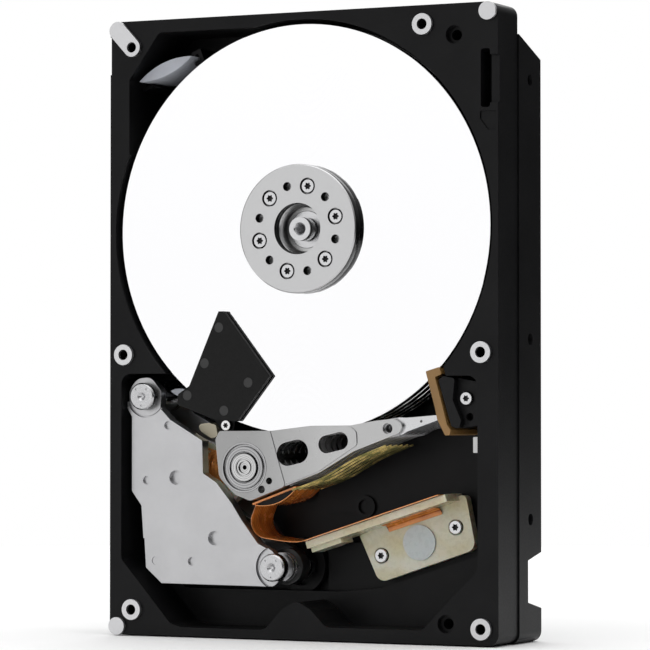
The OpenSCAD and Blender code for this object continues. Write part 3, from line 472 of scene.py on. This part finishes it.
LATHED = {  # nodes turned round an axis, with painted shade on their walls
    "spindle_hub": turned("hub_steel", grey(0.5), 0.26, SPINDLE, wall=grey(0.035)),
    "pivot_sleeve": turned("sleeve_steel", (0.36, 0.36, 0.365), 0.3, PIVOT, 520, grey(0.12), 0.22),
    "pivot_shaft": turned("pivot_steel", grey(0.5), 0.2, PIVOT, 700, grey(0.1), 0.2),
}
HEADS = {  # nodes of screws and pins: tone, depth in mm below which painted shade darkens them
    "clamp_screws": ((0.62, 0.62, 0.63), 0.3),
    "flex_bracket_screws": ((0.62, 0.62, 0.63), 0.3),
    "ramp_screw": ((0.62, 0.62, 0.63), 0.3),
    "damper_screw": (grey(0.75), 0.3),
    "yoke_pins": ((0.52, 0.52, 0.53), 0.75),
}
MATERIALS = {
    "coated_casting": casting_material(),
    "polished_steel": surface("polished_steel", (0.6, 0.6, 0.61), 0.24, 1.0, 1500, 0.08, 0.05),
    "nickel_steel": surface("nickel_steel", (0.5, 0.5, 0.51), 0.36, 1.0, 2200, 0.14, 0.04),
    # The clamp's near-black outer wall is painted shade.
    "clamp_steel": turned("clamp_steel", (0.53, 0.53, 0.535), 0.24, SPINDLE, wall=grey(0.035)),
    "disk_mirror": turned("disk_mirror", (0.93, 0.93, 0.94), 0.04, SPINDLE, 1200),
    "arm_aluminium": block_material(),
    "magnet_plate": surface("magnet_plate", (0.6, 0.6, 0.61), 0.2, 1.0, 900, 0.05, 0.03),
    "magnet_black": surface("magnet_black", (0.05, 0.05, 0.055), 0.6),
    "copper_wire": surface("copper_wire", (0.95, 0.33, 0.08), 0.3, 0.6, 1200, 0.1, 0.2, 0.6),
    "polyimide": film_material(),
    "stop_rubber": stop_material(),
    "amber_plastic": surface("amber_plastic", (0.3, 0.165, 0.05), 0.42, 0.0, 900, 0.08, 0.25),
    "dark_plastic": surface("dark_plastic", (0.006, 0.006, 0.0065), 0.5, grain=1200, shine=0.2),
    "damper_plastic": damper_material(),
    "filter_felt": surface("filter_felt", (0.5, 0.52, 0.57), 0.8, 0.0, 2500, 0.6),
    "cream_plastic": cream_material(),
    "white_plastic": surface("white_plastic", (0.75, 0.75, 0.74), 0.5),
    "board_laminate": board_material(),
    "foam": surface("foam", (0.05, 0.05, 0.055), 0.85, 0.0, 1500, 0.6),
    "gold_contact": gold_material(),
    "chip_epoxy": surface("chip_epoxy", (0.016, 0.016, 0.018), 0.5, 0.0, 2600, 0.15),
    "ceramic": surface("ceramic", (0.42, 0.34, 0.24), 0.5),
    "ceramic_slider": surface("ceramic_slider", (0.03, 0.03, 0.035), 0.15),
}


# ---- building pieces ----
def unit(a, b):
    """The direction from a to b in plan."""
    dx, dy = b[0] - a[0], b[1] - a[1]
    length = math.hypot(dx, dy)
    return dx / length, dy / length


def polar(centre, radius, degrees):
    turn = math.radians(degrees)
    return centre[0] + radius * math.cos(turn), centre[1] + radius * math.sin(turn)


def smooth_path(points, step):
    """Evenly fine points on a Catmull-Rom curve through the given plan points."""
    out = []
    for i in range(len(points) - 1):
        p = [points[min(max(i + k - 1, 0), len(points) - 1)] for k in range(4)]
        pieces = max(1, round(math.dist(p[1], p[2]) / step))
        for j in range(pieces):
            t = j / pieces
            out.append(tuple(curve_at(*corner, t) for corner in zip(*p)))
    out.append(tuple(points[-1]))
    return out


def curve_at(a, b, c, d, t):
    """One coordinate on the Catmull-Rom curve from b to c."""
    return 0.5 * (
        2 * b + (c - a) * t + (2 * a - 5 * b + 4 * c - d) * t**2 + (3 * b - a - 3 * c + d) * t**3
    )


SAME_PLACE = 1e-7  # corners closer than this are joined


class Shape:
    """Gathers closed forms in the drive's plan, and then makes one piece of them."""

    def __init__(self):
        self.verts, self.faces = [], []

    def loft(self, rings, closed=False):
        """Joins rings of equally many places in turn; capped at both ends unless closed."""
        first, n, m = len(self.verts), len(rings[0]), len(rings)
        for ring in rings:
            self.verts += [flat(*place) for place in ring]
        for i in range(m if closed else m - 1):
            a, b = first + i * n, first + (i + 1) % m * n
            self.faces += [(a + j, a + (j + 1) % n, b + (j + 1) % n, b + j) for j in range(n)]
        if not closed:
            last = first + (m - 1) * n
            self.faces += [tuple(range(first + n - 1, first - 1, -1)), tuple(range(last, last + n))]

    def sweep(self, path, section, closed=False):
        """A section of (across, z) pairs drawn along a path in plan."""
        rings = []
        count = len(path)
        for i, here in enumerate(path):
            before = path[i - 1] if closed or i else here
            after = path[(i + 1) % count] if closed or i < count - 1 else here
            dx, dy = unit(before, after)
            rings.append([(here[0] - dy * a, here[1] + dx * a, z) for a, z in section])
        self.loft(rings, closed)

    def prism(self, outline, z0, z1):
        self.loft([[(x, y, z) for x, y in outline] for z in (z0, z1)])

    def finish(self, name, slot, body=None, edge=40):
        mesh = bpy.data.meshes.new(name)
        mesh.from_pydata(self.verts, [], self.faces)
        made = bpy.data.objects.new(name, mesh)
        bpy.context.scene.collection.objects.link(made)
        soft = bmesh.new()
        soft.from_mesh(mesh)
        bmesh.ops.remove_doubles(soft, verts=soft.verts, dist=SAME_PLACE)
        bmesh.ops.recalc_face_normals(soft, faces=soft.faces)
        soft.to_mesh(mesh)
        soft.free()
        mesh.shade_smooth()
        mesh.set_sharp_from_angle(angle=math.radians(edge))
        mesh.materials.append(MATERIALS[slot])
        if body:
            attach(made, body)
        return made


def rectangle(a0, a1, z0, z1):
    return [(a0, z0), (a1, z0), (a1, z1), (a0, z1)]


def plan_box(node):
    """A node's box in the drive's plan, in mm: (x0, y0, z0), (x1, y1, z1)."""
    low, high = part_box(node)
    return (
        (low.x / MM, (low.z - LOW.z) / MM, (HIGH.y - high.y) / MM),
        (high.x / MM, (high.z - LOW.z) / MM, (HIGH.y - low.y) / MM),
    )


PIVOT_AT = (PIVOT[0] / MM, (PIVOT[1] - LOW.z) / MM)


# ---- the cable ----
PANEL = ((-13.2, 31.9), (-1.4, 36.2))  # where it leaves the arm block
LOOP_C, LOOP_R = (-10.6, 27.6), 3.95
LOOP_TURN = range(150, 266, 10)
RIBBON_HALF = 0.07
TRACK_RISE, TRACK_PITCH = 0.025, 0.95
TRACK_PROFILE = ((0, 0), (0.08, TRACK_RISE), (0.42, TRACK_RISE), (0.5, 0))
WALL = ((-1.2, 22.9), (34.6, 34.4))  # the bracket's wall, which it lies along
WALL_LENGTH = math.dist(*WALL)
WALL_DIR = unit(*WALL)
WALL_UP = (-WALL_DIR[1], WALL_DIR[0])
WALL_GAP = 0.2  # between the ribbon's middle and the wall


def beside_wall(along, off):
    """A plan place so far along the bracket's wall and off it towards the arms."""
    return (
        WALL[0][0] + WALL_DIR[0] * along + WALL_UP[0] * off,
        WALL[0][1] + WALL_DIR[1] * along + WALL_UP[1] * off,
    )


def flex_cable():
    """The ribbon from the arm block round its loop to the bracket, with raised tracks on both faces."""
    low, high = plan_box("flex_loop")
    path = (
        [(PANEL[0][0] - 0.12, PANEL[0][1] - 0.5)]
        + [polar(LOOP_C, LOOP_R, a) for a in LOOP_TURN]
        + [(-6.5, 23.1), (-3.6, 22.9)]
        + [beside_wall(a, WALL_GAP) for a in (0, 4, 10, 18, 26, WALL_LENGTH - 1)]
    )
    face = []
    z = low[2] + 0.5
    while z < high[2] - 0.6:
        face += [(z + up, RIBBON_HALF + rise) for up, rise in TRACK_PROFILE]
        z += TRACK_PITCH
    edge = [(low[2] + 0.03, RIBBON_HALF), *face, (high[2] - 0.03, RIBBON_HALF)]
    section = [(a, z) for z, a in edge] + [(-a, z) for z, a in reversed(edge)]
    shape = Shape()
    shape.sweep(smooth_path(path, 0.6), section)
    cable = shape.finish("flex_cable", "polyimide", edge=60)
    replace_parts(cable, "flex_loop")
    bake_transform(cable)


def panel_bulge():
    """Where the cable swells under the block, over potting round its amplifier chip."""
    low, high = plan_box("arm_flex_panel")
    d = unit(*PANEL)
    n = (d[1], -d[0])
    start, length, steps = 0.4, 11.2, 24  # along the panel
    gap, swell = 0.62, 1.5  # off the panel at both ends, and how much more between them

    def beside_panel(along, off):
        return PANEL[0][0] + d[0] * along + n[0] * off, PANEL[0][1] + d[1] * along + n[1] * off

    path = []
    for i in range(steps + 1):
        t = i / steps
        path.append(beside_panel(start + length * t, gap + swell * math.sin(math.pi * t) ** 0.8))
    film = Shape()
    film.sweep(path, rectangle(-RIBBON_HALF, RIBBON_HALF, low[2] + 0.4, high[2] - 0.5))
    film.finish("panel_bulge", "polyimide", "actuator", edge=60)
    under_film = [(x - n[0] * 0.08, y - n[1] * 0.08) for x, y in path[1:-1]]
    back = [beside_panel(a, 0.45) for a in (11.1, 0.9)]
    potting = Shape()
    potting.prism(under_film + back, low[2] + 0.6, high[2] - 0.9)
    potting.finish("chip_potting", "dark_plastic", "actuator")


def cable_tail():
    """The cable's end, which turns down through the bracket's slot to its plug."""
    plate = plan_box("flex_bracket_screws")[1][2] - 0.5
    thick = 0.12
    stations = (18.3, 22.5, 27, 32.6)  # along the wall
    # Places of the bend: off the wall's line, and above the bracket's plate.
    bend = [(-1.72, 3.6), (-1.76, 2.2), (-1.95, 1), (-2.5, 0.42), (-3.3, 0.3)]
    upper = [(off, plate + up) for off, up in bend]
    section = upper + [(off - thick, z - thick) for off, z in reversed(upper)]
    shape = Shape()
    shape.loft([[(*beside_wall(a, off), z) for off, z in section] for a in stations])
    shape.finish("cable_tail", "polyimide", "base", edge=60)


# ---- arms and heads ----
ARM_COUNT = 6
TAIL_PATH = [(22, 46.1), (14, 42.9), (5.4, 38.3), (-2.2, 35.6)]
TAIL_FILM = (0.28, 0.78)  # its edges, off the path
TAIL_TRACKS = (0.34, 0.58)
TAIL_TRACK_W = 0.13


def arm_levels():
    """The middle height of each arm, from the top down, in plan mm."""
    disks = sorted((plan_box(f"disk_{i}") for i in range(1, ARM_COUNT)), key=lambda b: -b[1][2])
    tops = [high[2] for low, high in disks]
    bottoms = [low[2] for low, high in disks]
    half_gap = (bottoms[0] - tops[1]) / 2
    return [tops[0] + half_gap] + [z - half_gap for z in bottoms]


def head_tails():
    """Each arm's tail: a film along its near edge with fine gold tracks on it."""
    path = smooth_path(TAIL_PATH, 1.0)
    film, tracks = Shape(), Shape()
    for level in arm_levels():
        film.sweep(path, rectangle(*TAIL_FILM, level - 0.12, level + 0.08))
        for a in TAIL_TRACKS:
            tracks.sweep(path, rectangle(a, a + TAIL_TRACK_W, level + 0.08, level + 0.15))
    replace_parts(film.finish("tail_films", "dark_plastic", "actuator"), "head_traces")
    tracks.finish("tail_tracks", "gold_contact", "actuator")


COIL_MIDDLE, COIL_HALF = 192.0, 29.0  # degrees round the pivot
COIL_LEG, COIL_IN, COIL_OUT = 4.6, 10.8, 26.4
COIL_LAYERS, COIL_TURNS = 7, 12
SCALLOP, GROOVE, CREST = 0.06, 0.09, 0.02


def coil_winding():
    """The voice coil as laid turns: its outline swept with a scalloped section."""
    low, high = plan_box("voice_coil")
    z0, z1 = low[2], high[2]
    radius_in, radius_out = COIL_IN + COIL_LEG / 2, COIL_OUT - COIL_LEG / 2
    sweep_in = COIL_HALF - math.degrees(COIL_LEG / 2 / radius_in) * 0.9
    sweep_out = COIL_HALF - math.degrees(COIL_LEG / 2 / radius_out)
    path = [polar(PIVOT_AT, radius_out, COIL_MIDDLE + sweep_out * (i / 8 - 1)) for i in range(17)]
    path += [polar(PIVOT_AT, radius_in, COIL_MIDDLE + sweep_in * (1 - i / 6)) for i in range(13)]
    side = []
    for i in range(COIL_LAYERS * 4 + 1):
        t = i / (COIL_LAYERS * 4)
        side.append((SCALLOP * abs(math.cos(math.pi * t * COIL_LAYERS)), z0 + (z1 - z0) * t))
    wide = COIL_LEG / 2 - CREST
    across = []
    for i in range(COIL_TURNS * 2 + 1):
        t = i / (COIL_TURNS * 2)
        across.append((wide - SCALLOP - (COIL_LEG - 0.16) * t, GROOVE if i % 2 else CREST))
    section = (
        [(wide - d, z) for d, z in side]
        + [(a, z1 - d) for a, d in across]
        + [(-wide + d, z) for d, z in reversed(side)]
        + [(-a, z0 + d) for a, d in across]
    )
    shape = Shape()
    shape.sweep(path, section, closed=True)
    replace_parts(shape.finish("coil_winding", "copper_wire", "actuator", edge=30), "voice_coil")


# ---- finish of the CAD nodes ----
THIN = (  # too thin for rounded edges
    "flex_loop", "load_beams", "swage_plates", "head_sliders", "head_traces", "motor_flex",
    "sata_contacts", "voice_coil", "stator_core", "pivot_balls",
)
EDGE_MM = {"base_casting": 0.22, "upper_yoke": 0.15, "flex_bracket": 0.2}
FINE_EDGE_MM = 0.09
WELD_MM = 0.005


def soften_edges():
    """Small rounds on the CAD nodes' edges, which catch the light as real edges do."""
    for name, piece in NODES.items():
        if name in THIN:
            continue
        weld = piece.modifiers.new("weld", "WELD")
        weld.merge_threshold = WELD_MM * MM
        edge = piece.modifiers.new("edge", "BEVEL")
        edge.width = EDGE_MM.get(name, FINE_EDGE_MM) * MM
        edge.segments = 2
        edge.limit_method = "ANGLE"
        edge.angle_limit = math.radians(40)


def paint_cad_nodes():
    slots = {s["node"]: s["material_slot"] for s in frame["record"]["subparts"]}
    for name, piece in NODES.items():
        piece.data.materials.clear()
        if name in HEADS:
            paint = head_material(name, *HEADS[name])
        else:
            paint = LATHED.get(name, MATERIALS[slots[name]])
        piece.data.materials.append(paint)


def main():
    camera()
    studio()
    floor()
    paint_cad_nodes()
    soften_edges()
    flex_cable()
    panel_bulge()
    cable_tail()
    head_tails()
    coil_winding()


main()
